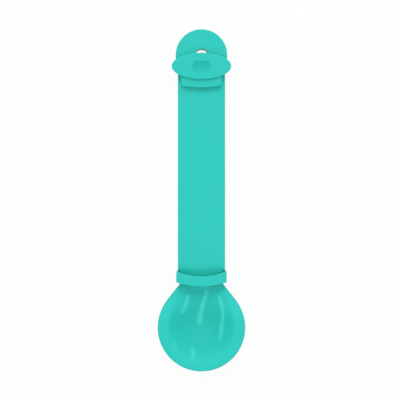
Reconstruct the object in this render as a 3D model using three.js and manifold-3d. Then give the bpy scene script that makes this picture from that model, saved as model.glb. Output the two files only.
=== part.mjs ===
// Treat spoon with a squeezing slider, in millimetres. It lies on its back: +Z up, the bowl towards -Y,
// the hanging head towards +Y, and the origin under the middle of its length.
import * as THREE from "three";
import { mergeVertices } from "three/addons/utils/BufferGeometryUtils.js";
import Module from "manifold-3d";

const wasm = await Module();
wasm.setup();

// Gaps
const FIT = 0.3; // between pieces that slide or plug together
const SEAT = 0.1; // between faces that are pressed together

// Handle, a flat bar that carries everything
const HANDLE_WIDTH = 23.62;
const HANDLE_THICKNESS = 4.6;
const HANDLE_LIFT = 2.6; // room under the bar for the slider's rear strap
const HANDLE_EDGE_RADIUS = 1.0;
const RAIL_LENGTH = 107.77; // from the collar to the head
const RAMP_DROP = 2.0; // the bar's face curves down towards the collar
const RAMP_START = 5.4; // above the collar, where the dip begins
const RAMP_END = 1.0; // under the collar, where it ends
const PLUG_DEPTH = 1.6; // the bar's narrowed end inside the collar
const TENON_WIDTH = 14;
const TENON_THICKNESS = 1.0;
const TENON_LENGTH = 4.5;

// Head of the handle, wider and thicker than the bar, with a hole to hang it by
const HEAD_OVERHANG = 1.04; // wider than the bar, each side
const HEAD_SKIRT = 2.45; // straight sides under the dome
const HEAD_FACE = 1.6; // stands proud of the bar's face
const HEAD_EDGE_RADIUS = 0.9;
const HANG_HOLE_RADIUS = 3.4;
const HANG_HOLE_DROP = 0.35; // below the middle of the dome
const HANG_RECESS_RADIUS = 5.5; // hollow behind the hole
const HANG_WALL = 5.0; // thickness left round the hole

// Squeeze plate, whose lower end shows as a tab under the thumb plate
const POUCH_GAP = 0.6; // room for a flattened pouch
const PLATE_THICKNESS = 2.2;
const PARK_GAP = 0.73; // between the parked slider and the head
const TAB_MARGIN = 1.75; // bar showing each side of the tab
const TAB_DROP = 10.53; // from the thumb plate's middle to the tab's tip
const TAB_ARC_RADIUS = 54;
const TAB_CORNER_RADIUS = 1.5;

// Squeeze pad, a soft strip let into the underside of the squeeze plate
const PAD_WIDTH = 17;
const PAD_LENGTH = 3;
const PAD_INLET = 0.5; // let into the plate
const PAD_SETBACK = 4.1; // from the tab's tip to the pad's middle

// Thumb plate, an oval with finger grooves, two pegs and two legs that reach down beside the bar
const THUMB_OVERHANG = 1.27; // past the legs
const THUMB_HALF_HEIGHT = 6.57;
const THUMB_DROP = 2.6; // from the top of the legs to the oval's middle
const THUMB_THICKNESS = 1.5;
const THUMB_EDGE_RADIUS = 0.5;
const GROOVE_COUNT = 5;
const GROOVE_PITCH = 1.35;
const GROOVE_WIDTH = 0.8;
const GROOVE_DEPTH = 0.6; // of the uppermost groove
const GROOVE_FADE = 0.1; // each groove is this much shallower than the one above it
const GROOVE_LENGTH = 10.5; // of the middle groove
const GROOVE_TAPER = 1.55; // each groove is this much shorter than its neighbour towards the middle
const GROOVE_SHIFT = 0.85; // below the plate's middle
const PEG_RADIUS = 1.3;
const PEG_LENGTH = 1.1;
const PEG_SPACING = 12;
const LEG_WALL = 1.4;
const LEG_HEIGHT = 4.0; // along the bar

// Rear strap, snapped between the legs behind the bar
const TABLE_CLEARANCE = 0.4; // under the strap and the legs
const TONGUE_LENGTH = 1.2; // into each leg's window
const TONGUE_HEIGHT = 2.0; // along the bar
const TONGUE_THICKNESS = 0.7;

// Collar, a ring that bridges the outlet
const COLLAR_STEP = 0.75; // wider than the bar, each side
const COLLAR_SIDE_WALL = 1.4;
const COLLAR_FRONT_WALL = 1.3;
const COLLAR_BACK_WALL = 1.2;
const COLLAR_LENGTH = 5.03;
const COLLAR_TOP_ARC = 30;
const COLLAR_BOTTOM_ARC = 41;
const COLLAR_CORNER_RADIUS = 1.9;
const PASSAGE_CORNER_RADIUS = 1.0;
const PASSAGE_HEIGHT = 5.5;

// Spoon bowl
const BOWL_RADIUS = 21.75;
const FLARE_ANGLE = 39 * Math.PI / 180; // sides of the neck, away from the length
const NECK_EXPOSED = 0.8; // straight neck below the collar
const NECK_LIP_RISE = 1.8; // the neck's sides stand above its middle, as a chute
const NECK_LIP_WIDTH = 1.5;
const LIP_WIDTH = 5.2;
const LIP_THICKNESS = 2.2;
const LIP_EDGE_RADIUS = 0.9;
const LIP_FALL = 0.2; // the lip's outer edge lies lower than its inner one
const RIM_HEIGHT = 12.4;
const DISH_FLOOR = 1.8; // thickness in the middle
const DISH_WALL = 3.0; // thickness of the dish's side
const DISH_SOFTENING = 2.0; // over which the lip turns down into the dish
const CHUTE_LENGTH = 16; // over which the neck becomes the bowl
const CHUTE_ROUNDING = 10; // over which the chute's two sides blend where it leaves the neck
const RIDGE_HALF_WIDTH = 1.4;
const RIDGE_HALF_HEIGHT = 0.8;
const RIDGE_SINK = 0.35;
const RIDGE_BLUNTNESS = 6; // a ridge stays thick closer to its ends the larger this is
// Lick ridges on the dish: points across and along from the bowl's middle, as shares of its radius
const RIDGES = [
  [[-0.29, 0.75], [-0.32, 0.63], [-0.36, 0.48], [-0.41, 0.38], [-0.465, 0.29]],
  [[0.15, 0.9], [0.075, 0.65], [0.03, 0.5], [-0.01, 0.32], [-0.05, 0.01]],
  [[0.38, 0.76], [0.425, 0.61], [0.46, 0.46], [0.485, 0.26], [0.46, 0.03], [0.4, -0.34]],
  [[-0.62, -0.22], [-0.6, -0.36], [-0.57, -0.52]],
  [[-0.2, -0.72], [-0.19, -0.59], [-0.19, -0.46]],
];

// Finishes
const PLASTIC_COLOUR = 0x38cec2;
const PLASTIC_ROUGHNESS = 0.45;
const SILICONE_COLOUR = 0x34cabe;
const SILICONE_ROUGHNESS = 0.6;

// How finely round shapes are cut into flats
const CORNER_STEPS = 4;
const DOME_STEPS = 28;
const HOLE_STEPS = 24;
const OVAL_STEPS = 48;
const ARC_STEPS = 14;
const RAMP_STEPS = 5;
const PAD_STEPS = 8;
const EDGE_STEPS = 3;
const BOWL_RAYS = 64;
const RIDGE_RINGS = 10;
const RIDGE_SIDES = 8;
const EDGE_RINGS = [0, 0.3, 1]; // of the bowl's points, as shares of its edge radius
const DISH_RINGS = [0, 0.06, 0.15, 0.25, 0.36, 0.48, 0.6, 0.72, 0.86]; // as shares of the way to its middle
const MERGE_DISTANCE = 1e-4;

// Levels above the table
const barBack = HANDLE_LIFT;
const barFace = barBack + HANDLE_THICKNESS;
const outletFloor = barFace - RAMP_DROP;
const headFace = barFace + HEAD_FACE;
const strapTop = barBack - FIT;
const plateBack = barFace + POUCH_GAP;
const plateFace = plateBack + PLATE_THICKNESS;
const padBack = barFace + FIT;
const padTop = plateBack + PAD_INLET;
const thumbBack = plateFace + SEAT;
const thumbFace = thumbBack + THUMB_THICKNESS;
const neckBack = COLLAR_BACK_WALL + FIT;
const passageTop = outletFloor + PASSAGE_HEIGHT;
const collarFace = passageTop + COLLAR_FRONT_WALL;

// Half widths
const barHalf = HANDLE_WIDTH / 2;
const headRadius = barHalf + HEAD_OVERHANG;
const legInner = barHalf + FIT;
const legOuter = legInner + LEG_WALL;
const strapHalf = legInner - FIT;
const tabHalf = barHalf - TAB_MARGIN;
const thumbHalf = legOuter + THUMB_OVERHANG;
const collarHalf = barHalf + COLLAR_STEP;
const passageHalf = collarHalf - COLLAR_SIDE_WALL;
const neckHalf = passageHalf - FIT;

// How far an arc of this radius has risen at a distance from its lowest point
function sag(radius, across) {
  return radius - Math.sqrt(radius * radius - across * across);
}

// Places along the length, first from the lowest point of the collar's upper edge
const neckCorner = sag(COLLAR_BOTTOM_ARC, neckHalf) - COLLAR_LENGTH - NECK_EXPOSED;
const bowlDrop = (BOWL_RADIUS - Math.cos(FLARE_ANGLE) * neckHalf) / Math.sin(FLARE_ANGLE) - neckCorner;
const lengthAbove = RAIL_LENGTH + HEAD_SKIRT + headRadius;
const lengthBelow = bowlDrop + BOWL_RADIUS;

// then from the middle of the whole length
const collarTop = (lengthBelow - lengthAbove) / 2;
const collarBottom = collarTop - COLLAR_LENGTH;
const plugEnd = collarTop - PLUG_DEPTH;
const neckTop = plugEnd - FIT;
const neckEdge = collarBottom - FIT;
const bowlMiddle = collarTop - bowlDrop;
const headBottom = collarTop + RAIL_LENGTH;
const headMiddle = headBottom + HEAD_SKIRT;
const hangHoleMiddle = headMiddle - HANG_HOLE_DROP;
const sliderTop = headBottom - PARK_GAP;
const thumbMiddle = sliderTop - THUMB_DROP;
const legBottom = sliderTop - LEG_HEIGHT;
const legMiddle = sliderTop - LEG_HEIGHT / 2;
const tabTip = thumbMiddle - TAB_DROP;
const padMiddle = tabTip + PAD_SETBACK;
const cut = BOWL_RADIUS; // how far a cutting shape reaches past what it cuts

const xAxis = new THREE.Vector3(1, 0, 0);
const yAxis = new THREE.Vector3(0, 1, 0);
const zAxis = new THREE.Vector3(0, 0, 1);

// Satin moulded plastic of the hard pieces
function hardPlastic() {
  return new THREE.MeshStandardMaterial({ color: PLASTIC_COLOUR, roughness: PLASTIC_ROUGHNESS });
}

// Matt silicone of the soft pieces
function softSilicone() {
  return new THREE.MeshStandardMaterial({ color: SILICONE_COLOUR, roughness: SILICONE_ROUGHNESS });
}

// Solid from a closed geometry
function solid(geometry) {
  const bare = geometry.clone();
  bare.deleteAttribute("normal");
  bare.deleteAttribute("uv");
  const merged = mergeVertices(bare, MERGE_DISTANCE);
  const vertProperties = new Float32Array(merged.attributes.position.array);
  const triVerts = new Uint32Array(merged.index.array);
  return new wasm.Manifold(new wasm.Mesh({ numProp: 3, vertProperties, triVerts }));
}

// Named mesh from a solid
function piece(name, body, material) {
  const { vertProperties, triVerts } = body.getMesh();
  const geometry = new THREE.BufferGeometry();
  geometry.setAttribute("position", new THREE.BufferAttribute(new Float32Array(vertProperties), 3));
  geometry.setIndex(new THREE.BufferAttribute(new Uint32Array(triVerts), 1));
  geometry.computeVertexNormals();
  const mesh = new THREE.Mesh(geometry, material);
  mesh.name = name;
  return mesh;
}

// Outline in X and Y raised from one level to another, with its edges rounded if a radius is given
function upright(outline, low, high, steps, edge = 0) {
  const geometry = new THREE.ExtrudeGeometry(outline, {
    depth: high - low - 2 * edge,
    bevelEnabled: edge > 0,
    bevelThickness: edge,
    bevelSize: edge,
    bevelOffset: -edge,
    bevelSegments: EDGE_STEPS,
    curveSegments: steps,
  });
  return solid(geometry.translate(0, 0, low + edge));
}

// Section in X and Z drawn out along the length
function lengthwise(section, bottom, top) {
  const geometry = new THREE.ExtrudeGeometry(section, {
    depth: top - bottom,
    bevelEnabled: false,
    curveSegments: CORNER_STEPS,
  });
  geometry.applyMatrix4(new THREE.Matrix4().makeBasis(xAxis, zAxis, yAxis.clone().negate()));
  return solid(geometry.translate(0, top, 0));
}

// Profile in Y and Z drawn out across the width
function crosswise(profile, half, steps) {
  const geometry = new THREE.ExtrudeGeometry(profile, {
    depth: 2 * half,
    bevelEnabled: false,
    curveSegments: steps,
  });
  geometry.applyMatrix4(new THREE.Matrix4().makeBasis(yAxis, zAxis, xAxis));
  return solid(geometry.translate(-half, 0, 0));
}

// Block between two corners
function block(left, bottom, low, right, top, high) {
  const geometry = new THREE.BoxGeometry(right - left, top - bottom, high - low);
  return solid(geometry.translate((left + right) / 2, (bottom + top) / 2, (low + high) / 2));
}

// Round post or hole along Z
function post(radius, x, y, low, high) {
  const geometry = new THREE.CylinderGeometry(radius, radius, high - low, HOLE_STEPS);
  geometry.rotateX(Math.PI / 2);
  return solid(geometry.translate(x, y, (low + high) / 2));
}

// Rectangle with round corners
function roundedRectangle(left, low, right, high, radius) {
  const shape = new THREE.Shape();
  shape.absarc(right - radius, low + radius, radius, -Math.PI / 2, 0);
  shape.absarc(right - radius, high - radius, radius, 0, Math.PI / 2);
  shape.absarc(left + radius, high - radius, radius, Math.PI / 2, Math.PI);
  shape.absarc(left + radius, low + radius, radius, Math.PI, Math.PI * 1.5);
  shape.closePath();
  return shape;
}

// Straight sides under a half circle
function domeOutline(radius, bottom, middle) {
  const shape = new THREE.Shape();
  shape.moveTo(-radius, bottom);
  shape.lineTo(radius, bottom);
  shape.absarc(0, middle, radius, 0, Math.PI);
  shape.closePath();
  return shape;
}

// Area above an arc that hangs down in the middle, up to a level line
function aboveArc(half, lowest, radius, top) {
  const shape = new THREE.Shape();
  const spread = Math.asin(half / radius);
  shape.absarc(0, lowest + radius, radius, -Math.PI / 2 - spread, -Math.PI / 2 + spread);
  shape.lineTo(half, top);
  shape.lineTo(-half, top);
  shape.closePath();
  return shape;
}

// Handle: bar with a dipped end, a plug and tenon for the bowl, and a thick head, hollow behind its hole
function makeHandle() {
  const section = roundedRectangle(-barHalf, barBack, barHalf, barFace, HANDLE_EDGE_RADIUS);
  const shoulder = aboveArc(collarHalf, collarTop + FIT, COLLAR_TOP_ARC, headMiddle);
  const bar = lengthwise(section, collarTop, headMiddle).intersect(upright(shoulder, 0, headFace, ARC_STEPS));
  const rampTop = collarTop + RAMP_START;
  const rampBottom = collarTop - RAMP_END;
  const dip = new THREE.Shape();
  dip.moveTo(plugEnd, outletFloor);
  dip.lineTo(rampBottom, outletFloor);
  dip.quadraticCurveTo((rampBottom + rampTop) / 2, barFace, rampTop, barFace);
  dip.lineTo(rampTop, headFace);
  dip.lineTo(plugEnd, headFace);
  const plug = block(-neckHalf, plugEnd, barBack, neckHalf, rampTop, outletFloor);
  const tenonHalf = TENON_WIDTH / 2;
  const tenon = block(
    -tenonHalf, plugEnd - TENON_LENGTH, barBack, tenonHalf, rampTop, barBack + TENON_THICKNESS,
  );
  const dome = domeOutline(headRadius, headBottom, headMiddle);
  const head = upright(dome, 0, headFace, DOME_STEPS, HEAD_EDGE_RADIUS);
  const hole = post(HANG_HOLE_RADIUS, 0, hangHoleMiddle, -cut, headFace + cut);
  const dipped = bar.subtract(crosswise(dip, collarHalf, RAMP_STEPS));
  const recess = post(HANG_RECESS_RADIUS, 0, hangHoleMiddle, -cut, headFace - HANG_WALL);
  const body = dipped.add(plug).add(tenon).add(head).subtract(hole).subtract(recess);
  return piece("handle", body, hardPlastic());
}

// Squeeze plate's outline, from under the thumb plate to the curved tip of its tab
function tabOutline() {
  const shape = new THREE.Shape();
  const round = TAB_CORNER_RADIUS;
  const reach = tabHalf - round;
  const spread = Math.asin(reach / (TAB_ARC_RADIUS - round));
  const arcMiddle = tabTip + TAB_ARC_RADIUS;
  const cornerY = arcMiddle - Math.sqrt((TAB_ARC_RADIUS - round) ** 2 - reach ** 2);
  shape.moveTo(-tabHalf, sliderTop);
  shape.absarc(-reach, cornerY, round, Math.PI, Math.PI * 1.5 - spread);
  shape.absarc(0, arcMiddle, TAB_ARC_RADIUS, -Math.PI / 2 - spread, -Math.PI / 2 + spread);
  shape.absarc(reach, cornerY, round, -Math.PI / 2 + spread, 0);
  shape.lineTo(tabHalf, sliderTop);
  shape.closePath();
  return shape;
}

// Pegs of the thumb plate, or the holes that take them
function pegs(radius, low, high) {
  const offset = PEG_SPACING / 2;
  return post(radius, -offset, thumbMiddle, low, high).add(post(radius, offset, thumbMiddle, low, high));
}

// Squeeze plate: flat plate with a groove for the pad below and two peg holes
function makeSqueezePlate() {
  const plate = upright(tabOutline(), plateBack, plateFace, ARC_STEPS);
  const half = PAD_WIDTH / 2 + FIT;
  const reach = PAD_LENGTH / 2 + FIT;
  const groove = block(-half, padMiddle - reach, padBack, half, padMiddle + reach, padTop + FIT);
  const holes = pegs(PEG_RADIUS + FIT, plateBack - FIT, plateFace + FIT);
  return piece("squeeze_plate", plate.subtract(groove).subtract(holes), hardPlastic());
}

// Squeeze pad with a rounded lip towards the bar
function makeSqueezePad() {
  const half = PAD_LENGTH / 2;
  const profile = new THREE.Shape();
  profile.moveTo(padMiddle + half, padTop);
  profile.lineTo(padMiddle - half, padTop);
  profile.lineTo(padMiddle - half, plateBack);
  profile.quadraticCurveTo(padMiddle - half, padBack, padMiddle, padBack);
  profile.quadraticCurveTo(padMiddle + half, padBack, padMiddle + half, plateBack);
  profile.closePath();
  return piece("squeeze_pad", crosswise(profile, PAD_WIDTH / 2, PAD_STEPS), softSilicone());
}

// Tongues of the rear strap, or the windows in the legs that take them
function tongues(gap, reach) {
  const tongueTop = strapTop - FIT;
  const half = TONGUE_HEIGHT / 2 + gap;
  return block(
    -reach, legMiddle - half, tongueTop - TONGUE_THICKNESS - gap, reach, legMiddle + half, tongueTop + gap,
  );
}

// Thumb plate: rounded oval with finger grooves on top, and pegs and windowed legs below
function makeThumbPlate() {
  const oval = new THREE.Shape();
  oval.absellipse(0, 0, thumbHalf, THUMB_HALF_HEIGHT, 0, Math.PI * 2);
  let body = upright(oval, thumbBack, thumbFace, OVAL_STEPS, THUMB_EDGE_RADIUS).translate(0, thumbMiddle, 0);
  const root = thumbBack + THUMB_THICKNESS / 2;
  const leg = (side) => block(
    Math.min(side * legInner, side * legOuter), legBottom, TABLE_CLEARANCE,
    Math.max(side * legInner, side * legOuter), sliderTop, root,
  );
  const windows = tongues(FIT, legOuter + FIT);
  body = body.add(leg(-1)).add(leg(1)).add(pegs(PEG_RADIUS, thumbBack - PEG_LENGTH, root)).subtract(windows);
  for (let index = 0; index < GROOVE_COUNT; index += 1) {
    const fromMiddle = index - (GROOVE_COUNT - 1) / 2;
    const middle = thumbMiddle - GROOVE_SHIFT - fromMiddle * GROOVE_PITCH;
    const reach = (GROOVE_LENGTH - GROOVE_TAPER * Math.abs(fromMiddle)) / 2;
    const half = GROOVE_WIDTH / 2;
    const depth = GROOVE_DEPTH - GROOVE_FADE * index;
    const outline = roundedRectangle(-reach, middle - half, reach, middle + half, half);
    body = body.subtract(upright(outline, thumbFace - depth, thumbFace + FIT, CORNER_STEPS));
  }
  return piece("thumb_plate", body, hardPlastic());
}

// Rear strap: flat bar behind the handle with a tongue at each end
function makeRearStrap() {
  const strap = block(-strapHalf, legBottom, TABLE_CLEARANCE, strapHalf, sliderTop, strapTop);
  return piece("rear_strap", strap.add(tongues(0, strapHalf + TONGUE_LENGTH)), hardPlastic());
}

// Collar: ring with both edges curved down towards the bowl
function makeCollar() {
  const outside = roundedRectangle(-collarHalf, 0, collarHalf, collarFace, COLLAR_CORNER_RADIUS);
  const inside = roundedRectangle(
    -passageHalf, COLLAR_BACK_WALL, passageHalf, passageTop, PASSAGE_CORNER_RADIUS,
  );
  const top = collarTop + sag(COLLAR_TOP_ARC, collarHalf);
  const ring = lengthwise(outside, collarBottom, top)
    .subtract(lengthwise(inside, collarBottom - cut, top + cut));
  const wide = collarHalf + FIT;
  const lowerArc = aboveArc(wide, collarBottom, COLLAR_BOTTOM_ARC, top + cut);
  const upperArc = aboveArc(wide, collarTop, COLLAR_TOP_ARC, top + cut);
  const body = ring.intersect(upright(lowerArc, -cut, collarFace + cut, ARC_STEPS))
    .subtract(upright(upperArc, -cut, collarFace + cut, ARC_STEPS));
  return piece("collar", body, hardPlastic());
}

// Even step from 0 to 1 with soft ends
function ease(share) {
  const inside = Math.min(Math.max(share, 0), 1);
  return inside * inside * (3 - 2 * inside);
}

// How far a point lies inside the bowl's round and flared outline
function inset(x, y) {
  const across = Math.abs(x);
  const along = y - bowlMiddle;
  if (Math.atan2(along, across) <= FLARE_ANGLE) {
    return BOWL_RADIUS - Math.hypot(across, along);
  }
  const flared = across * Math.cos(FLARE_ANGLE) + along * Math.sin(FLARE_ANGLE);
  const blend = CHUTE_ROUNDING * along / BOWL_RADIUS;
  const shared = Math.max(blend - 2 * across * Math.cos(FLARE_ANGLE), 0);
  return BOWL_RADIUS - flared - shared * shared / (4 * blend);
}

// How much a rounded edge has dropped at an inset
function edgeDrop(depth) {
  const short = Math.max(LIP_EDGE_RADIUS - Math.max(depth, 0), 0);
  return sag(LIP_EDGE_RADIUS, short);
}

// Share of the dish's depth at an inset, past a lip that turns down softly
function dishShare(depth, lipWidth) {
  const past = depth - lipWidth + DISH_SOFTENING / 2;
  const soft = Math.min(Math.max(past, 0), DISH_SOFTENING);
  const run = soft * soft / (2 * DISH_SOFTENING) + Math.max(past - DISH_SOFTENING, 0);
  const short = 1 - Math.min(run / (BOWL_RADIUS - lipWidth), 1);
  return 1 - short * short;
}

// Height of the bowl inside its rounded edge: a lip that rises from the neck, and a round dish sunk into it
function dishLine(x, y) {
  const grown = ease((neckEdge - y) / CHUTE_LENGTH);
  const neckLip = outletFloor + NECK_LIP_RISE;
  const neckFloor = neckLip - NECK_LIP_RISE / dishShare(inset(0, neckEdge), NECK_LIP_WIDTH);
  const lipWidth = NECK_LIP_WIDTH + (LIP_WIDTH - NECK_LIP_WIDTH) * grown;
  const lip = neckLip + (RIM_HEIGHT - neckLip) * grown;
  const floor = neckFloor + (DISH_FLOOR - neckFloor) * grown;
  const depth = inset(x, y);
  const fall = LIP_FALL * grown * Math.max(1 - depth / lipWidth, 0) ** 2;
  return lip - fall - (lip - floor) * dishShare(depth, lipWidth);
}

// Height of the bowl's upper surface
function dishTop(x, y) {
  return dishLine(x, y) - edgeDrop(inset(x, y));
}

// Height of the bowl's underside, which runs level from the neck and follows the dish down to a flat foot
function dishUnder(x, y) {
  const grown = ease((neckEdge - y) / CHUTE_LENGTH);
  const depth = inset(x, y);
  const wall = LIP_THICKNESS + (DISH_WALL - LIP_THICKNESS) * ease(depth / (2 * LIP_WIDTH));
  const hanging = dishLine(x, y) - wall;
  return Math.max(neckBack + (hanging - neckBack) * grown, 0) + edgeDrop(depth);
}

// Distance from the bowl's middle to its outline, in one direction
function bowlReach(angle) {
  const upward = Math.sin(angle);
  const slant = Math.atan2(upward, Math.abs(Math.cos(angle)));
  const wall = slant > FLARE_ANGLE ? BOWL_RADIUS / Math.cos(slant - FLARE_ANGLE) : BOWL_RADIUS;
  const arcMiddle = neckEdge + COLLAR_BOTTOM_ARC - bowlMiddle;
  const chord = upward * arcMiddle;
  const inside = chord * chord - (arcMiddle * arcMiddle - COLLAR_BOTTOM_ARC * COLLAR_BOTTOM_ARC);
  const neck = upward > 0 && inside > 0 ? chord - Math.sqrt(inside) : Infinity;
  return Math.min(wall, neck);
}

// Bowl body: rings of points on its upper and lower surfaces, joined at the outline
function bowlBody() {
  const insets = [
    ...EDGE_RINGS.map((share) => share * LIP_EDGE_RADIUS),
    LIP_WIDTH / 2,
    ...DISH_RINGS.map((share) => LIP_WIDTH + share * (BOWL_RADIUS - LIP_WIDTH)),
  ];
  const shares = insets.map((depth) => 1 - depth / BOWL_RADIUS);
  const points = [];
  const triangles = [];
  const rings = shares.length;
  const vertex = (side, ring, ray) => side * (rings * BOWL_RAYS + 1) + ring * BOWL_RAYS + ray % BOWL_RAYS;
  const middle = (side) => side * (rings * BOWL_RAYS + 1) + rings * BOWL_RAYS;
  for (const height of [dishTop, dishUnder]) {
    for (const share of shares) {
      for (let ray = 0; ray < BOWL_RAYS; ray += 1) {
        const angle = Math.PI / 2 + (ray / BOWL_RAYS) * Math.PI * 2;
        const x = Math.cos(angle) * bowlReach(angle) * share;
        const y = bowlMiddle + Math.sin(angle) * bowlReach(angle) * share;
        points.push(x, y, height(x, y));
      }
    }
    points.push(0, bowlMiddle, height(0, bowlMiddle));
  }
  for (let ray = 0; ray < BOWL_RAYS; ray += 1) {
    const next = ray + 1;
    for (let ring = 0; ring < rings - 1; ring += 1) {
      const [a, b, c, d] = [[ring, ray], [ring, next], [ring + 1, next], [ring + 1, ray]];
      const upper = [a, b, c, d].map(([level, turn]) => vertex(0, level, turn));
      const lower = [a, b, c, d].map(([level, turn]) => vertex(1, level, turn));
      triangles.push(upper[0], upper[1], upper[2], upper[0], upper[2], upper[3]);
      triangles.push(lower[0], lower[2], lower[1], lower[0], lower[3], lower[2]);
    }
    triangles.push(vertex(0, rings - 1, ray), vertex(0, rings - 1, next), middle(0));
    triangles.push(vertex(1, rings - 1, next), vertex(1, rings - 1, ray), middle(1));
    triangles.push(vertex(0, 0, next), vertex(0, 0, ray), vertex(1, 0, ray));
    triangles.push(vertex(0, 0, next), vertex(1, 0, ray), vertex(1, 0, next));
  }
  const geometry = new THREE.BufferGeometry();
  geometry.setAttribute("position", new THREE.Float32BufferAttribute(points, 3));
  geometry.setIndex(triangles);
  return solid(geometry);
}

// Lick ridge: a bar with tapered ends that lies half sunk in the dish
function ridge(shares) {
  const route = shares.map(([across, along]) => {
    const x = across * BOWL_RADIUS;
    const y = bowlMiddle + along * BOWL_RADIUS;
    return new THREE.Vector3(x, y, dishTop(x, y) - RIDGE_SINK);
  });
  const curve = new THREE.CatmullRomCurve3(route);
  const points = [curve.getPoint(0).toArray()];
  for (let ring = 1; ring < RIDGE_RINGS; ring += 1) {
    const share = ring / RIDGE_RINGS;
    const centre = curve.getPoint(share);
    const side = curve.getTangent(share).cross(zAxis).normalize();
    const taper = Math.sqrt(1 - (2 * share - 1) ** RIDGE_BLUNTNESS);
    for (let turn = 0; turn < RIDGE_SIDES; turn += 1) {
      const angle = (turn / RIDGE_SIDES) * Math.PI * 2;
      const spot = centre.clone().addScaledVector(side, RIDGE_HALF_WIDTH * taper * Math.cos(angle));
      points.push(spot.addScaledVector(zAxis, RIDGE_HALF_HEIGHT * taper * Math.sin(angle)).toArray());
    }
  }
  points.push(curve.getPoint(1).toArray());
  const vertex = (ring, turn) => 1 + (ring - 1) * RIDGE_SIDES + turn % RIDGE_SIDES;
  const last = points.length - 1;
  const triangles = [];
  for (let turn = 0; turn < RIDGE_SIDES; turn += 1) {
    triangles.push(0, vertex(1, turn), vertex(1, turn + 1));
    for (let ring = 1; ring < RIDGE_RINGS - 1; ring += 1) {
      triangles.push(vertex(ring, turn), vertex(ring + 1, turn), vertex(ring + 1, turn + 1));
      triangles.push(vertex(ring, turn), vertex(ring + 1, turn + 1), vertex(ring, turn + 1));
    }
    triangles.push(vertex(RIDGE_RINGS - 1, turn), last, vertex(RIDGE_RINGS - 1, turn + 1));
  }
  const geometry = new THREE.BufferGeometry();
  geometry.setAttribute("position", new THREE.Float32BufferAttribute(points.flat(), 3));
  geometry.setIndex(triangles);
  return solid(geometry);
}

// Spoon bowl: dish, lick ridges and a socketed neck that runs up inside the collar
function makeBowl() {
  const neck = block(-neckHalf, collarBottom - NECK_EXPOSED - FIT, neckBack, neckHalf, neckTop, outletFloor);
  const socketHalf = TENON_WIDTH / 2 + FIT;
  const socketTop = barBack + TENON_THICKNESS + FIT;
  const socket = block(
    -socketHalf, plugEnd - TENON_LENGTH - FIT, barBack - FIT, socketHalf, neckTop + cut, socketTop,
  );
  let body = bowlBody().add(neck);
  for (const shares of RIDGES) {
    body = body.add(ridge(shares));
  }
  return piece("spoon_bowl", body.subtract(socket), softSilicone());
}

const spoon = new THREE.Group();
spoon.add(makeHandle(), makeCollar(), makeBowl());
spoon.add(makeThumbPlate(), makeSqueezePlate(), makeSqueezePad(), makeRearStrap());

export default spoon;
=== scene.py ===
import math

import bmesh
import bpy
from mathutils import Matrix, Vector


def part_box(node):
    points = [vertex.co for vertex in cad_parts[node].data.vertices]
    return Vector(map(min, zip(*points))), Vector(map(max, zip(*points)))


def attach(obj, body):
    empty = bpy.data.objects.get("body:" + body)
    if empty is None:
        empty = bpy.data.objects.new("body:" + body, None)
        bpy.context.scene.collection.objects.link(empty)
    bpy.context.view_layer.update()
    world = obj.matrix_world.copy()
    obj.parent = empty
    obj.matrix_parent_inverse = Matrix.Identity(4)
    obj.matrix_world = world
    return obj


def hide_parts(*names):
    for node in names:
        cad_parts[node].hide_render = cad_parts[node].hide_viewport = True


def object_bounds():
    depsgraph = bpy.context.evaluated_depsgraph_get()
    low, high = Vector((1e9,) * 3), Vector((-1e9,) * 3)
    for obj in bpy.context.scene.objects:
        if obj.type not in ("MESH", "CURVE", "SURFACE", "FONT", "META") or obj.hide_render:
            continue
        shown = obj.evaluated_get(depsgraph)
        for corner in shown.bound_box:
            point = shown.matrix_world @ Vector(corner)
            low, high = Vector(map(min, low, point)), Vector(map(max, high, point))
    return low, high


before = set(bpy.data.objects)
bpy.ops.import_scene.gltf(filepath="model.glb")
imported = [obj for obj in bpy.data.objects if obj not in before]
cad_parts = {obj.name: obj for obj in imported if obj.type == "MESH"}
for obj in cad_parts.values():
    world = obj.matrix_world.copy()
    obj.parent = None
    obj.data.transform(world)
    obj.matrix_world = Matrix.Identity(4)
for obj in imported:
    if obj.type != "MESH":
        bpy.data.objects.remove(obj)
cad_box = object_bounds()
scene = bpy.context.scene
scene.view_settings.view_transform = "Standard"


# Studio: the spoon lies on its back on a sheet of white paper, and the camera looks straight down on it.
# A large soft lamp stands high beyond the head's end, and the white room fills the rest.
MM = 0.001
CAMERA_HEIGHT = 607.2 * MM
CAMERA_PLACE = (-0.73 * MM, -0.05 * MM)
CAMERA_NEAR = 10 * MM
CAMERA_LENS = 108  # mm, before a sensor 36 mm wide
ROOM_LIGHT = 0.82
LAMP_PLACE = (0.05, 1.26, 1.45)  # metres from the middle of the spoon
LAMP_SIZE = 0.8  # metres
LAMP_POWER = 8.5  # watts
SHEET_SIZE = 3.0  # metres
SHADOW_SHARE = 0.08
WHITE = "#FFFFFF"
PAPER = "#F9F9F9"


def node(tree, kind, inputs=None, **settings):
    """Adds a node, sets its settings, and links or fills its inputs."""
    made = tree.nodes.new(kind)
    for name, value in settings.items():
        setattr(made, name, value)
    for key, value in (inputs or {}).items():
        if isinstance(value, bpy.types.NodeSocket):
            tree.links.new(value, made.inputs[key])
        else:
            made.inputs[key].default_value = value
    return made


def linear(hex_colour):
    """Linear colour of an sRGB hex value."""
    shares = [int(hex_colour[start : start + 2], 16) / 255 for start in (1, 3, 5)]
    return [s / 12.92 if s <= 0.04045 else ((s + 0.055) / 1.055) ** 2.4 for s in shares] + [1]


def seen_directly(tree):
    """1 for what the eye sees, straight or by reflection, and 0 for what only lights other things."""
    rays = node(tree, "ShaderNodeLightPath").outputs
    seen = rays["Is Camera Ray"]
    for mirrored in ("Is Glossy Ray", "Is Transmission Ray"):
        seen = node(tree, "ShaderNodeMath", {0: seen, 1: rays[mirrored]}, operation="MAXIMUM").outputs[0]
    return seen


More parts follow.
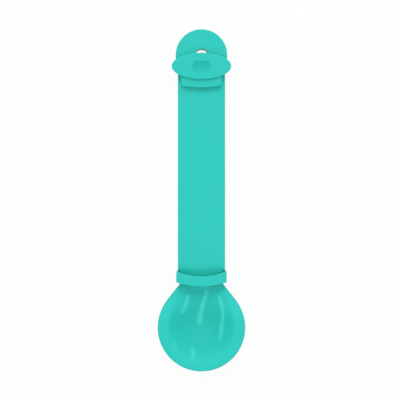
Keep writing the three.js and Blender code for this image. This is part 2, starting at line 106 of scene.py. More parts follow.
room = bpy.data.worlds.new("white_room")
room.use_nodes = True
room_tree = room.node_tree
room_tree.nodes.clear()
filling = node(room_tree, "ShaderNodeBackground", {"Strength": ROOM_LIGHT, "Color": linear(WHITE)})
shown = node(room_tree, "ShaderNodeBackground", {"Strength": 1.0, "Color": linear(WHITE)})
walls = node(
    room_tree,
    "ShaderNodeMixShader",
    {0: seen_directly(room_tree), 1: filling.outputs[0], 2: shown.outputs[0]},
)
node(room_tree, "ShaderNodeOutputWorld", {"Surface": walls.outputs[0]})
scene.world = room

lamp = bpy.data.objects.new("soft_lamp", bpy.data.lights.new("soft_lamp", "AREA"))
lamp.data.size = LAMP_SIZE
lamp.data.energy = LAMP_POWER
lamp.location = LAMP_PLACE
lamp.rotation_euler = Vector(LAMP_PLACE).to_track_quat("Z", "Y").to_euler()
scene.collection.objects.link(lamp)

# Matt paper. The eye sees it as plain white with a small share of its shading, the spoon's faint shadow.
sheet_finish = bpy.data.materials.new("white_paper")
sheet_finish.use_nodes = True
paper_tree = sheet_finish.node_tree
paper_tree.nodes.clear()
matt = node(paper_tree, "ShaderNodeBsdfDiffuse", {"Color": linear(PAPER)})
plain = node(paper_tree, "ShaderNodeEmission", {"Strength": 1.0, "Color": linear(WHITE)})
plain_share = node(
    paper_tree,
    "ShaderNodeMath",
    {0: seen_directly(paper_tree), 1: 1 - SHADOW_SHARE},
    operation="MULTIPLY",
)
paper = node(
    paper_tree,
    "ShaderNodeMixShader",
    {0: plain_share.outputs[0], 1: matt.outputs[0], 2: plain.outputs[0]},
)
node(paper_tree, "ShaderNodeOutputMaterial", {"Surface": paper.outputs[0]})

sheet_mesh = bpy.data.meshes.new("paper_sheet")
half_sheet = SHEET_SIZE / 2
sheet_corners = []
for across, along in ((-1, -1), (1, -1), (1, 1), (-1, 1)):
    sheet_corners.append((across * half_sheet, along * half_sheet, cad_box[0][2]))
sheet_mesh.from_pydata(sheet_corners, [], [(0, 1, 2, 3)])
sheet_mesh.materials.append(sheet_finish)
sheet = bpy.data.objects.new("paper_sheet", sheet_mesh)
scene.collection.objects.link(sheet)

camera = bpy.data.objects.new("camera", bpy.data.cameras.new("camera"))
camera.data.lens = CAMERA_LENS
camera.data.clip_start = CAMERA_NEAR
camera.location = (*CAMERA_PLACE, CAMERA_HEIGHT)
scene.collection.objects.link(camera)
scene.camera = camera


# Handle: one moulding in satin polypropylene. A flat bar with round edges dips at its lower end to pass under
# the collar, and ends in a plug and a tenon that hold the bowl. Its upper end swells into a round head with a
# hole to hang it by, which is hollowed out from behind.
BAR_WIDTH = 23.62 * MM
BAR_BACK = 2.6 * MM  # above the table, with room for the strap behind the bar
BAR_FACE = 7.2 * MM
BAR_EDGE = 0.5 * MM
OUTLET_FLOOR = 5.2 * MM  # height of the face under the collar
DIP_START = 5.4 * MM  # above the middle of the collar's upper edge
DIP_END = -1.0 * MM  # under the collar
COLLAR_TOP_ARC = 30 * MM
SEAT_GAP = 0.02 * MM
CORNER_GAP_WIDTH = 1.1 * MM  # a notch at each end of the bar's shoulder, open towards the collar
CORNER_GAP_BLEND = 0.6 * MM
CORNER_GAP_LENGTH = 0.75 * MM
CORNER_GAP_DEPTH = 2.2 * MM
PLUG_HALF = 10.86 * MM
PLUG_EDGE = 0.3 * MM
PLUG_DEPTH = 1.6 * MM
TENON_HALF = 7 * MM
TENON_TOP = 3.6 * MM
TENON_LENGTH = 4.5 * MM
HEAD_SKIRT = 2.45 * MM  # straight sides under the dome
HEAD_CORNER = 1.2 * MM
HEAD_EDGE = 0.5 * MM
HOLE_RADIUS = 3.35 * MM
HOLE_DROP = 0.35 * MM  # below the middle of the dome
HOLE_RIM = 0.2 * MM
HOLE_WALL = 5.0 * MM  # left between the head's face and the hollow behind it
HOLLOW_RADIUS = 5.5 * MM
EDGE_STEPS = 6  # in each quarter turn of a rounded edge
FACE_STEPS = 32
DIP_STEPS = 32
BAR_STEPS = 12
HEAD_STEPS = 64
HOLE_STEPS = 96
SHARP_ANGLE = math.radians(35)
MITRE_LIMIT = 0.5  # a corner moves in by at most one over this, times what the sides move
CLOUD_SIZE = 14 * MM
CLOUD_DETAIL = 3.0
CLOUD_SHEEN = 0.04
GRAIN_DETAIL = 2.0
GRAIN_STRENGTH = 0.12
GRAIN_DEPTH = 0.05 * MM
MOULDED_IOR = 1.49
MOULDED_SPECULAR = 0.25
PLASTIC = "#2BCEC3"
PLASTIC_CLOUD = "#27CABF"
PLASTIC_PAINTED_SHADE = "#12C4B9"
PLASTIC_ROUGHNESS = 0.42
PLASTIC_GRAIN = 0.35 * MM


def moulded(name, colour, cloud, paler, painted_shade, roughness, grain):
    """Moulded plastic or silicone: nearly even colour with faint flow clouds, and the fine grain of a mould.

    Where the mesh carries a mark, the colour turns to its tone: a painted highlight on the bowl's ridge
    crests, and painted shade deep in the dish and in the grip grooves.
    """
    material = bpy.data.materials.new(name)
    material.use_nodes = True
    tree = material.node_tree
    tree.nodes.clear()
    place = node(tree, "ShaderNodeTexCoord").outputs["Object"]
    clouds = node(
        tree, "ShaderNodeTexNoise", {"Vector": place, "Scale": 1 / CLOUD_SIZE, "Detail": CLOUD_DETAIL}
    ).outputs[0]
    tint = node(
        tree,
        "ShaderNodeMix",
        {"Factor": clouds, "A": linear(cloud), "B": linear(colour)},
        data_type="RGBA",
    ).outputs["Result"]
    # The marks carry painted highlight and painted shade, mixed into the colour.
    for mark, tone in (("painted_shade", painted_shade), ("paler", paler)):
        share = node(tree, "ShaderNodeAttribute", attribute_name=mark).outputs["Fac"]
        tint = node(
            tree, "ShaderNodeMix", {"Factor": share, "A": tint, "B": linear(tone)}, data_type="RGBA"
        ).outputs["Result"]
    pits = node(
        tree, "ShaderNodeTexNoise", {"Vector": place, "Scale": 1 / grain, "Detail": GRAIN_DETAIL}
    ).outputs[0]
    relief = node(
        tree, "ShaderNodeBump", {"Height": pits, "Strength": GRAIN_STRENGTH, "Distance": GRAIN_DEPTH}
    ).outputs[0]
    sheen = node(
        tree,
        "ShaderNodeMapRange",
        {"Value": clouds, "To Min": roughness - CLOUD_SHEEN, "To Max": roughness + CLOUD_SHEEN},
    ).outputs[0]
    surface = node(
        tree,
        "ShaderNodeBsdfPrincipled",
        {
            "Base Color": tint,
            "Roughness": sheen,
            "Normal": relief,
            "IOR": MOULDED_IOR,
            "Specular IOR Level": MOULDED_SPECULAR,
        },
    ).outputs[0]
    node(tree, "ShaderNodeOutputMaterial", {"Surface": surface})
    return material


def skin(name, rings, looped=False):
    """Closed mesh through rings of as many points each, joined end to end or capped at both ends."""
    count = len(rings[0])
    faces = []
    for ring in range(len(rings) if looped else len(rings) - 1):
        here = ring * count
        there = (ring + 1) % len(rings) * count
        for turn in range(count):
            onward = (turn + 1) % count
            faces.append((here + turn, here + onward, there + onward, there + turn))
    if not looped:
        last = (len(rings) - 1) * count
        faces.append(tuple(range(count)))
        faces.append(tuple(range(last, last + count)))
    mesh = bpy.data.meshes.new(name)
    mesh.from_pydata([point for ring in rings for point in ring], [], faces)
    shell = bmesh.new()
    shell.from_mesh(mesh)
    bmesh.ops.recalc_face_normals(shell, faces=shell.faces)
    shell.to_mesh(mesh)
    shell.free()
    made = bpy.data.objects.new(name, mesh)
    scene.collection.objects.link(made)
    return made


def settle(piece):
    """Makes the piece's modifiers part of its mesh."""
    ready = piece.evaluated_get(bpy.context.evaluated_depsgraph_get())
    mesh = bpy.data.meshes.new_from_object(ready)
    piece.modifiers.clear()
    piece.data = mesh


def combine(piece, operation, *others):
    """Joins other solids to a piece or cuts them out of it."""
    for other in others:
        step = piece.modifiers.new("joint", "BOOLEAN")
        step.operation = operation
        step.object = other
    settle(piece)
    for other in others:
        bpy.data.objects.remove(other)


def dress(piece, material, slot, body, *nodes):
    """Smooth shading between sharp edges, a finish, and the place of the piece in the assembly."""
    piece.data.materials.clear()
    piece.data.materials.append(material)
    piece.data.shade_smooth()
    piece.data.set_sharp_from_angle(angle=SHARP_ANGLE)
    weighting = piece.modifiers.new("flat_faces_stay_flat", "WEIGHTED_NORMAL")
    weighting.keep_sharp = True
    settle(piece)
    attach(piece, body)
    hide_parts(*nodes)


def arc(centre_x, centre_y, radius, start, end, steps):
    """Points along an arc, with angles in quarter turns."""
    turns = [start + (end - start) * step / steps for step in range(steps + 1)]
    return [
        (
            centre_x + radius * math.cos(turn * math.pi / 2),
            centre_y + radius * math.sin(turn * math.pi / 2),
        )
        for turn in turns
    ]


def circle(centre_x, centre_y, radius, steps):
    """Points round a circle, anticlockwise."""
    return arc(centre_x, centre_y, radius, 0, 4, steps)[:-1]


def inward(outline, distance):
    """Outline moved in by a distance."""
    moved = []
    for index, (x, y) in enumerate(outline):
        back = Vector((x, y)) - Vector(outline[index - 1])
        ahead = Vector(outline[(index + 1) % len(outline)]) - Vector((x, y))
        side = (back.normalized() + ahead.normalized()).normalized()
        stretch = distance / max(side.dot(ahead.normalized()), MITRE_LIMIT)
        moved.append((x - side.y * stretch, y + side.x * stretch))
    return moved


def slab(name, outline, low, high, edge):
    """Flat solid with rounded upper and lower edges over an outline that runs anticlockwise."""
    bends = [step / EDGE_STEPS * math.pi / 2 for step in range(EDGE_STEPS + 1)]
    rings = []
    for level, sign in ((low + edge, -1), (high - edge, 1)):
        for bend in bends[::sign]:
            shrunk = inward(outline, edge * (1 - math.cos(bend)))
            rings.append([(x, y, level + sign * edge * math.sin(bend)) for x, y in shrunk])
    return skin(name, rings)


def sag(radius, across):
    """How far an arc has risen at a distance from its lowest point."""
    return radius - math.sqrt(radius * radius - across * across)


def ease(share):
    """Even step from 0 to 1 with soft ends."""
    inside = min(max(share, 0), 1)
    return inside * inside * (3 - 2 * inside)


handle_low, handle_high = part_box("handle")
collar_low, collar_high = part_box("collar")
collar_top = collar_high.y - sag(COLLAR_TOP_ARC, collar_high.x)
plug_end = collar_top - PLUG_DEPTH
bar_half = BAR_WIDTH / 2
head_radius = handle_high.x
head_middle = handle_high.y - head_radius
head_bottom = head_middle - HEAD_SKIRT
bar_length = head_bottom - collar_top


def bar_face(y):
    """Height of the bar's face, which dips towards the collar."""
    fallen = min(max((collar_top + DIP_START - y) / (DIP_START - DIP_END), 0), 1)
    return BAR_FACE - (BAR_FACE - OUTLET_FLOOR) * fallen**2


def shoulder(x):
    """Where the bar ends against the curved edge of the collar."""
    return collar_top + SEAT_GAP + sag(COLLAR_TOP_ARC, x)


def corner_gap(x, station):
    """How deep the notch is that shows dark at each end of the shoulder."""
    outward = ease((abs(x) - bar_half + CORNER_GAP_WIDTH) / CORNER_GAP_BLEND)
    return CORNER_GAP_DEPTH * outward * (1 - ease(station / CORNER_GAP_LENGTH))


def bar_section(half, edge, place, face):
    """Ring of points round the bar, from functions for the place along it and the height of its face."""
    corner = half - edge
    lower = arc(corner, 0, edge, -1, 0, EDGE_STEPS)
    upper = arc(corner, 0, edge, 0, 1, EDGE_STEPS)
    across = [corner - 2 * corner * step / FACE_STEPS for step in range(1, FACE_STEPS)]
    top = upper + [(x, edge) for x in across] + [(-x, rise) for x, rise in upper[::-1]]
    back = [(-x, rise) for x, rise in lower[::-1]] + [(-x, -edge) for x in across] + lower
    ring = [(x, place(x), face(x) - edge + rise) for x, rise in top]
    return ring + [(x, place(x), BAR_BACK + edge + rise) for x, rise in back]


sections = [
    bar_section(TENON_HALF, PLUG_EDGE, lambda x: plug_end - TENON_LENGTH, lambda x: TENON_TOP),
    bar_section(TENON_HALF, PLUG_EDGE, lambda x: plug_end, lambda x: TENON_TOP),
    bar_section(PLUG_HALF, PLUG_EDGE, lambda x: plug_end, lambda x: OUTLET_FLOOR),
    bar_section(PLUG_HALF, PLUG_EDGE, shoulder, lambda x: OUTLET_FLOOR),
]
stations = [DIP_START * step / DIP_STEPS for step in range(DIP_STEPS)]
stations += [DIP_START + (bar_length - DIP_START) * step / BAR_STEPS for step in range(BAR_STEPS + 1)]
for station in stations:
    sections.append(
        bar_section(
            bar_half,
            BAR_EDGE,
            lambda x: shoulder(x) + station,
            lambda x: bar_face(shoulder(x) + station) - corner_gap(x, station),
        )
    )
handle = skin("handle_moulding", sections)

head_outline = (
    arc(-head_radius + HEAD_CORNER, head_bottom + HEAD_CORNER, HEAD_CORNER, 2, 3, EDGE_STEPS)
    + arc(head_radius - HEAD_CORNER, head_bottom + HEAD_CORNER, HEAD_CORNER, 3, 4, EDGE_STEPS)
    + arc(0, head_middle, head_radius, 0, 2, HEAD_STEPS)
)
head = slab("head", head_outline, handle_low.z, handle_high.z, HEAD_EDGE)


def mouth(radius, level, inward_sign):
    """Radii and heights from outside a face through the rounded rim of a hole in it."""
    profile = [(radius + HOLE_RIM, level - inward_sign * HOLE_RIM)]
    for step in range(EDGE_STEPS + 1):
        bend = step / EDGE_STEPS * math.pi / 2
        rim = radius + HOLE_RIM * (1 - math.sin(bend))
        profile.append((rim, level + inward_sign * HOLE_RIM * (1 - math.cos(bend))))
    return profile


hole_middle = head_middle - HOLE_DROP
hollow_end = handle_high.z - HOLE_WALL
hole_profile = mouth(HOLLOW_RADIUS, handle_low.z, 1)
hole_profile += [(HOLLOW_RADIUS, hollow_end), (HOLE_RADIUS, hollow_end)]
hole_profile += mouth(HOLE_RADIUS, handle_high.z, -1)[::-1]
hole_rings = []
for radius, height in hole_profile:
    hole_rings.append([(x, y, height) for x, y in circle(0, hole_middle, radius, HOLE_STEPS)])
hole = skin("hanging_hole", hole_rings)

combine(handle, "UNION", head)
combine(handle, "DIFFERENCE", hole)

# Polypropylene from a finely eroded mould: an even, slightly waxy turquoise with a broad, soft shine. The
# real grain is under 0.1 mm wide, and it is drawn coarser so that it shows.
satin_plastic = moulded(
    "satin_polypropylene",
    colour=PLASTIC,
    cloud=PLASTIC_CLOUD,
    paler=PLASTIC,
    # Painted shade for the grip grooves.
    painted_shade=PLASTIC_PAINTED_SHADE,
    roughness=PLASTIC_ROUGHNESS,
    grain=PLASTIC_GRAIN,
)
dress(handle, satin_plastic, "satin_plastic", "spoon", "handle")


# Collar: a ring in the same plastic that bridges the outlet, with both edges curved towards the bowl. It is
# slid over the bowl's neck and the handle's plug, and is trapped between the handle's shoulder and the bowl.
COLLAR_CORNER = 1.9 * MM
COLLAR_EDGE = 0.2 * MM
COLLAR_SHOULDER = 0.9 * MM  # rounding of the two upper corners, seen from the front
COLLAR_BOTTOM_ARC = 41 * MM
COLLAR_WIDE_STEPS = 24
COLLAR_TALL_STEPS = 6
PASSAGE_HALF = 11.16 * MM
PASSAGE_BACK = 1.2 * MM
PASSAGE_FRONT = 10.7 * MM
PASSAGE_CORNER = 1.0 * MM


def oblong(half, low, high, corner, wide_steps, tall_steps):
    """Rounded rectangle as a loop of points, evenly divided along its straight sides."""
    loop = []
    corners = (
        (half - corner, low + corner, -1),
        (half - corner, high - corner, 0),
        (-half + corner, high - corner, 1),
        (-half + corner, low + corner, 2),
    )
    for index, (x, z, start) in enumerate(corners):
        bend = arc(x, z, corner, start, start + 1, EDGE_STEPS)
        next_x, next_z, next_start = corners[(index + 1) % len(corners)]
        ahead = arc(next_x, next_z, corner, next_start, next_start + 1, EDGE_STEPS)[0]
        steps = tall_steps if index % 2 == 0 else wide_steps
        loop += bend
        for step in range(1, steps):
            share = step / steps
            loop.append(tuple(a + (b - a) * share for a, b in zip(bend[-1], ahead)))
    return loop


def collar_upper_edge(x):
    """Where the collar ends towards the head, in an arc with rounded corners."""
    outward = max(abs(x) - collar_high.x + COLLAR_SHOULDER, 0)
    return collar_top + sag(COLLAR_TOP_ARC, x) - sag(COLLAR_SHOULDER, outward)


def collar_lower_edge(x):
    """Where the collar ends towards the bowl."""
    return collar_low.y + sag(COLLAR_BOTTOM_ARC, x)


collar_steps = (COLLAR_WIDE_STEPS, COLLAR_TALL_STEPS)
outer_loop = oblong(collar_high.x, collar_low.z, collar_high.z, COLLAR_CORNER, *collar_steps)
inner_loop = oblong(PASSAGE_HALF, PASSAGE_BACK, PASSAGE_FRONT, PASSAGE_CORNER, *collar_steps)
collar_rings = []
for (outer_x, outer_z), (inner_x, inner_z) in zip(outer_loop, inner_loop):
    wall = math.hypot(inner_x - outer_x, inner_z - outer_z)
    end = arc(COLLAR_EDGE, COLLAR_EDGE, COLLAR_EDGE, 2, 3, EDGE_STEPS)
    end += arc(wall - COLLAR_EDGE, COLLAR_EDGE, COLLAR_EDGE, 3, 4, EDGE_STEPS)
    ring = []
    for edge, sign, profile in ((collar_lower_edge, 1, end), (collar_upper_edge, -1, end[::-1])):
        for depth, rise in profile:
            x = outer_x + (inner_x - outer_x) * depth / wall
            z = outer_z + (inner_z - outer_z) * depth / wall
            ring.append((x, edge(x) + sign * rise, z))
    collar_rings.append(ring)
collar = skin("collar_ring", collar_rings, looped=True)
dress(collar, satin_plastic, "satin_plastic", "spoon", "collar")


# Spoon bowl: one moulding in soft food-grade silicone with a matt skin. A broad lip runs round a deep dish
# that the neck opens into, and five raised ridges lie in the dish for the tongue. The neck has a socket that
# is pushed over the handle's tenon.
JOINT_GAP = 0.3 * MM
HAIR = 0.02 * MM  # too small to see: keeps the faces of joined solids apart, and the edges of a cut sharp
FLARE_ANGLE = math.radians(39)
NECK_BACK = 1.5 * MM
NECK_OVERLAP = 1.4 * MM
NECK_LIP_RISE = 1.8 * MM  # the neck's sides stand above its middle, as a chute
NECK_LIP_WIDTH = 1.5 * MM
LIP_WIDTH = 5.2 * MM
LIP_THICKNESS = 2.2 * MM
LIP_EDGE = 0.9 * MM
LIP_FALL = 0.2 * MM  # the lip's outer edge lies lower than its inner one
RIM_HEIGHT = 12.4 * MM
DISH_FLOOR = 1.8 * MM
DISH_THICKNESS = 3.0 * MM
DISH_SOFTENING = 2.0 * MM  # over which the lip turns down into the dish
TIP_SOFTENING = 8.0 * MM  # the same at the far end
CHUTE_LENGTH = 16 * MM  # over which the neck becomes the bowl
CHUTE_LEVEL = 2.5 * MM  # before the floor starts to drop
CHUTE_DROP = 12 * MM
CHUTE_ROUNDING = 10 * MM
BOWL_RAYS = 256
DISH_STEPS = 46
PAINTED_SHADE_START = 1.0 * MM  # below the rim, where the painted shade of the dish starts
RIDGE_HALF_WIDTH = 2.0 * MM
RIDGE_SPREAD = 0.2  # a ridge starts this much narrower and ends this much wider
RIDGE_HEIGHT = 0.45 * MM
RIDGE_BLUNTNESS = 8.0  # a ridge keeps its height closer to its ends the larger this is
RIDGE_POINTS = 80
# Each ridge's strength, then points across and along from the bowl's middle, as shares of its radius
RIDGE_PATHS = (
    (0.9, (-0.29, 0.75), (-0.32, 0.63), (-0.36, 0.48), (-0.41, 0.38), (-0.465, 0.29)),
    (1.1, (0.15, 0.9), (0.075, 0.65), (0.03, 0.5), (-0.01, 0.32), (-0.055, -0.02)),
    (1.0, (0.38, 0.76), (0.425, 0.61), (0.46, 0.46), (0.485, 0.26), (0.46, 0.03), (0.4, -0.34)),
    (0.4, (-0.62, -0.22), (-0.6, -0.36), (-0.57, -0.52)),
    (0.8, (-0.2, -0.72), (-0.19, -0.59), (-0.19, -0.46)),
)
SILICONE = "#2BD1C6"
SILICONE_CLOUD = "#27CDC2"
# Painted highlight for the ridges' crests, and painted shade for the lower dish.
SILICONE_PAINTED_HIGHLIGHT = "#46DED3"
SILICONE_PAINTED_SHADE = "#27C8BD"
SILICONE_ROUGHNESS = 0.6
SILICONE_GRAIN = 0.3 * MM

bowl_low, bowl_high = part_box("spoon_bowl")
bowl_radius = bowl_high.x
bowl_middle = bowl_low.y + bowl_radius
neck_edge = collar_low.y - JOINT_GAP


def inset(x, y):
    """How far a point lies inside the bowl's round and flared outline."""
    across, along = abs(x), y - bowl_middle
    if math.atan2(along, across) <= FLARE_ANGLE:
        return bowl_radius - math.hypot(across, along)
    flared = across * math.cos(FLARE_ANGLE) + along * math.sin(FLARE_ANGLE)
    blend = CHUTE_ROUNDING * along / bowl_radius
    shared = max(blend - 2 * across * math.cos(FLARE_ANGLE), 0)
    return bowl_radius - flared - shared**2 / (4 * blend)


def edge_drop(depth):
    """How much the rounded edge of the lip has dropped at an inset."""
    return sag(LIP_EDGE, max(LIP_EDGE - max(depth, 0), 0))


def dish_share(depth, lip_width, softening):
    """Share of the dish's depth at an inset, past a lip that turns down softly."""
    past = depth - lip_width + softening / 2
    soft = min(max(past, 0), softening)
    run = soft**2 / (2 * softening) + max(past - softening, 0)
    return 1 - (1 - min(run / (bowl_radius - lip_width), 1)) ** 2


neck_lip = OUTLET_FLOOR + NECK_LIP_RISE
neck_floor = neck_lip - NECK_LIP_RISE / dish_share(inset(0, neck_edge), NECK_LIP_WIDTH, DISH_SOFTENING)


def dish_line(x, y):
    """Height of the upper surface without its rounded edge: a lip that rises from the neck, and the dish."""
    grown = ease((neck_edge - y) / CHUTE_LENGTH)
    lip_width = NECK_LIP_WIDTH + (LIP_WIDTH - NECK_LIP_WIDTH) * grown
    lip = neck_lip + (RIM_HEIGHT - neck_lip) * grown
    fallen = ease((neck_edge - y - CHUTE_LEVEL) / CHUTE_DROP)
    floor = neck_floor + (DISH_FLOOR - neck_floor) * fallen
    depth = inset(x, y)
    fall = LIP_FALL * grown * max(1 - depth / lip_width, 0) ** 2
    beyond = ease((bowl_middle - y) / bowl_radius)
    softening = DISH_SOFTENING + (TIP_SOFTENING - DISH_SOFTENING) * beyond
    return lip - fall - (lip - floor) * dish_share(depth, lip_width, softening)


def dish_top(x, y):
    """Height of the upper surface."""
    return dish_line(x, y) - edge_drop(inset(x, y))


def dish_under(x, y):
    """Height of the underside, which runs level from the neck and follows the dish down to a flat foot."""
    grown = ease((neck_edge - y) / CHUTE_LENGTH)
    depth = inset(x, y)
    wall = LIP_THICKNESS + (DISH_THICKNESS - LIP_THICKNESS) * ease(depth / (2 * LIP_WIDTH))
    hanging = dish_line(x, y) - wall
    return max(NECK_BACK + (hanging - NECK_BACK) * grown, 0) + edge_drop(depth)


def bowl_reach(angle):
    """Distance from the bowl's middle to its outline, or to the arc where the neck begins."""
    upward = math.sin(angle)
    slant = math.atan2(upward, abs(math.cos(angle)))
    wall = bowl_radius / math.cos(slant - FLARE_ANGLE) if slant > FLARE_ANGLE else bowl_radius
    arc_middle = neck_edge + COLLAR_BOTTOM_ARC - bowl_middle
    chord = upward * arc_middle
    inside = chord**2 - arc_middle**2 + COLLAR_BOTTOM_ARC**2
    if upward > 0 and inside > 0:
        return min(wall, chord - math.sqrt(inside))
    return wall


insets = [LIP_EDGE * (1 - math.cos(step / EDGE_STEPS * math.pi / 2)) for step in range(EDGE_STEPS)]
insets += [LIP_EDGE + (bowl_radius - LIP_EDGE) * step / DISH_STEPS for step in range(DISH_STEPS)]
bowl_rings = []
for height, depths in ((dish_top, insets[::-1]), (dish_under, insets)):
    for depth in depths:
        ring = []
        for ray in range(BOWL_RAYS):
            angle = (ray + 0.5) / BOWL_RAYS * math.tau
            reach = bowl_reach(angle) * (1 - depth / bowl_radius)
            x, y = reach * math.cos(angle), bowl_middle + reach * math.sin(angle)
            ring.append((x, y, height(x, y)))
        bowl_rings.append(ring)
bowl = skin("bowl_moulding", bowl_rings)
# Painted shade: the silicone is darker the lower it lies, from just below the rim down to the neck and the
# dish's floor.
painted_dish_shade = bowl.data.attributes.new("painted_shade", "FLOAT", "POINT")
for vertex, mark in zip(bowl.data.vertices, painted_dish_shade.data):
    mark.value = ease((RIM_HEIGHT - PAINTED_SHADE_START - vertex.co.z) / (RIM_HEIGHT - OUTLET_FLOOR))

# Silicone from a blasted mould: duller than the plastic, with no clear highlight. Its colour carries a
# painted highlight on the ridges' crests and painted shade that deepens towards the dish's floor. The real
# grain is under
# 0.1 mm wide, and it is drawn coarser so that it shows.
soft_silicone = moulded(
    "matt_silicone",
    colour=SILICONE,
    cloud=SILICONE_CLOUD,
    paler=SILICONE_PAINTED_HIGHLIGHT,
    painted_shade=SILICONE_PAINTED_SHADE,
    roughness=SILICONE_ROUGHNESS,
    grain=SILICONE_GRAIN,
)


def named_inputs(tree, kinds):
    """Gives a tree named inputs, and a surface to put out, and returns the inputs' identifiers."""
    identifiers = {}
    for name, kind in kinds.items():
        socket = tree.interface.new_socket(name, in_out="INPUT", socket_type=f"NodeSocket{kind}")
        identifiers[name] = socket.identifier
    tree.interface.new_socket("Surface", in_out="OUTPUT", socket_type="NodeSocketGeometry")
    return identifiers


def put_out(tree, surface, finish):
    """Ends a tree: instances become real faces, and the surface gets its finish."""
    whole = node(tree, "GeometryNodeRealizeInstances", {"Geometry": surface}).outputs[0]
    finished = node(tree, "GeometryNodeSetMaterial", {"Geometry": whole, "Material": finish}).outputs[0]
    node(tree, "NodeGroupOutput", {"Surface": finished})


def shape_by(piece, tree, identifiers, values):
    """Shapes a piece by a tree with these values for its inputs, and keeps the result as a plain mesh."""
    shaping = piece.modifiers.new(tree.name, "NODES")
    shaping.node_group = tree
    for name, value in values.items():
        shaping[identifiers[name]] = value
    settle(piece)


def from_middle(tree, along):
    """-1 at the start of a row or path, 0 in its middle and 1 at its end."""
    return node(tree, "ShaderNodeMath", {0: along, 1: 2.0, 2: -1.0}, operation="MULTIPLY_ADD").outputs[0]


def tapered(tree, along, bluntness):
    """1 in the middle of a path, and 0 at both its ends."""
    blunt = node(
        tree, "ShaderNodeMath", {0: from_middle(tree, along), 1: bluntness}, operation="POWER"
    ).outputs[0]
    return node(tree, "ShaderNodeMath", {0: 1.0, 1: blunt}, operation="SUBTRACT").outputs[0]


def ridge_tree():
    """Raises a surface in soft ridges along paths, and marks a painted highlight on them, strongest at their
    crests.
    """
    tree = bpy.data.node_groups.new("lick_ridges", "GeometryNodeTree")
    identifiers = named_inputs(
        tree,
        {
            "Surface": "Geometry",
            "Paths": "Object",
            "Half Width": "Float",
            "Spread": "Float",
            "Height": "Float",
            "Finish": "Material",
        },
    )
    given = node(tree, "NodeGroupInput").outputs
    strands = node(tree, "GeometryNodeObjectInfo", {"Object": given["Paths"]}).outputs["Geometry"]
    fine = node(tree, "GeometryNodeResampleCurve", {"Curve": strands, "Count": RIDGE_POINTS}).outputs[0]
    along = node(tree, "GeometryNodeSplineParameter").outputs["Factor"]
    strength = node(tree, "GeometryNodeInputRadius").outputs[0]
    taper = tapered(tree, along, RIDGE_BLUNTNESS)
    share = node(tree, "ShaderNodeMath", {0: taper, 1: strength}, operation="MULTIPLY").outputs[0]
    spread = node(
        tree,
        "ShaderNodeMath",
        {0: from_middle(tree, along), 1: given["Spread"], 2: 1.0},
        operation="MULTIPLY_ADD",
    ).outputs[0]
    width = node(tree, "ShaderNodeMath", {0: spread, 1: given["Half Width"]}, operation="MULTIPLY").outputs[0]
    marked = node(tree, "GeometryNodeCaptureAttribute", {"Geometry": fine})
    for name, value in (("Share", share), ("Width", width)):
        marked.capture_items.new("FLOAT", name)
        tree.links.new(value, marked.inputs[name])
    line = node(tree, "GeometryNodeCurveToMesh", {"Curve": marked.outputs["Geometry"]}).outputs[0]
    near = node(tree, "GeometryNodeProximity", {0: line}, target_element="EDGES").outputs["Distance"]
    nearest = node(tree, "GeometryNodeSampleNearest", {"Geometry": line}).outputs[0]
    here = {}
    for name in ("Share", "Width"):
        sampled = {"Geometry": line, "Value": marked.outputs[name], "Index": nearest}
        here[name] = node(tree, "GeometryNodeSampleIndex", sampled).outputs[0]
    bulge = node(
        tree,
        "ShaderNodeMapRange",
        {"Value": near, "From Min": here["Width"], "From Max": 0.0, "To Min": 0.0, "To Max": 1.0},
        interpolation_type="SMOOTHSTEP",
    ).outputs[0]
    crest = node(tree, "ShaderNodeMath", {0: bulge, 1: here["Share"]}, operation="MULTIPLY").outputs[0]
    # The crests carry a painted highlight in the colour.
    with_painted_highlight = node(
        tree,
        "GeometryNodeStoreNamedAttribute",
        {"Geometry": given["Surface"], "Name": "paler", "Value": crest},
    ).outputs[0]
    rise = node(tree, "ShaderNodeMath", {0: crest, 1: given["Height"]}, operation="MULTIPLY").outputs[0]
    lift = node(tree, "ShaderNodeCombineXYZ", {"Z": rise}).outputs[0]
    raised = node(tree, "GeometryNodeSetPosition", {"Geometry": with_painted_highlight, "Offset": lift}).outputs[0]
    put_out(tree, raised, given["Finish"])
    return tree, identifiers


paths = bpy.data.curves.new("ridge_paths", "CURVE")
paths.dimensions = "3D"
for strength, *shares in RIDGE_PATHS:
    strand = paths.splines.new("BEZIER")
    strand.bezier_points.add(len(shares) - 1)
    for point, (across, along) in zip(strand.bezier_points, shares):
        x, y = across * bowl_radius, bowl_middle + along * bowl_radius
        point.co = (x, y, dish_top(x, y))
        point.radius = strength
        point.handle_left_type = point.handle_right_type = "AUTO"
ridge_paths = bpy.data.objects.new("ridge_paths", paths)
scene.collection.objects.link(ridge_paths)
shape_by(
    bowl,
    *ridge_tree(),
    {
        "Paths": ridge_paths,
        "Half Width": RIDGE_HALF_WIDTH,
        "Spread": RIDGE_SPREAD,
        "Height": RIDGE_HEIGHT,
        "Finish": soft_silicone,
    },
)
bpy.data.objects.remove(ridge_paths)


def rectangle(left, bottom, right, top):
    """Corners of a rectangle, anticlockwise."""
    return [(left, bottom), (right, bottom), (right, top), (left, top)]


neck_top = plug_end - JOINT_GAP
neck = slab(
    "neck",
    rectangle(-PLUG_HALF, neck_edge - NECK_OVERLAP, PLUG_HALF, neck_top),
    NECK_BACK + HAIR,
    OUTLET_FLOOR - HAIR,
    PLUG_EDGE,
)
socket_half = TENON_HALF + JOINT_GAP
socket = slab(
    "socket",
    rectangle(-socket_half, plug_end - TENON_LENGTH - JOINT_GAP, socket_half, neck_top + LIP_WIDTH),
    BAR_BACK - JOINT_GAP,
    TENON_TOP + JOINT_GAP,
    HAIR,
)
combine(bowl, "UNION", neck)
combine(bowl, "DIFFERENCE", socket)
dress(bowl, soft_silicone, "soft_silicone", "spoon", "spoon_bowl")
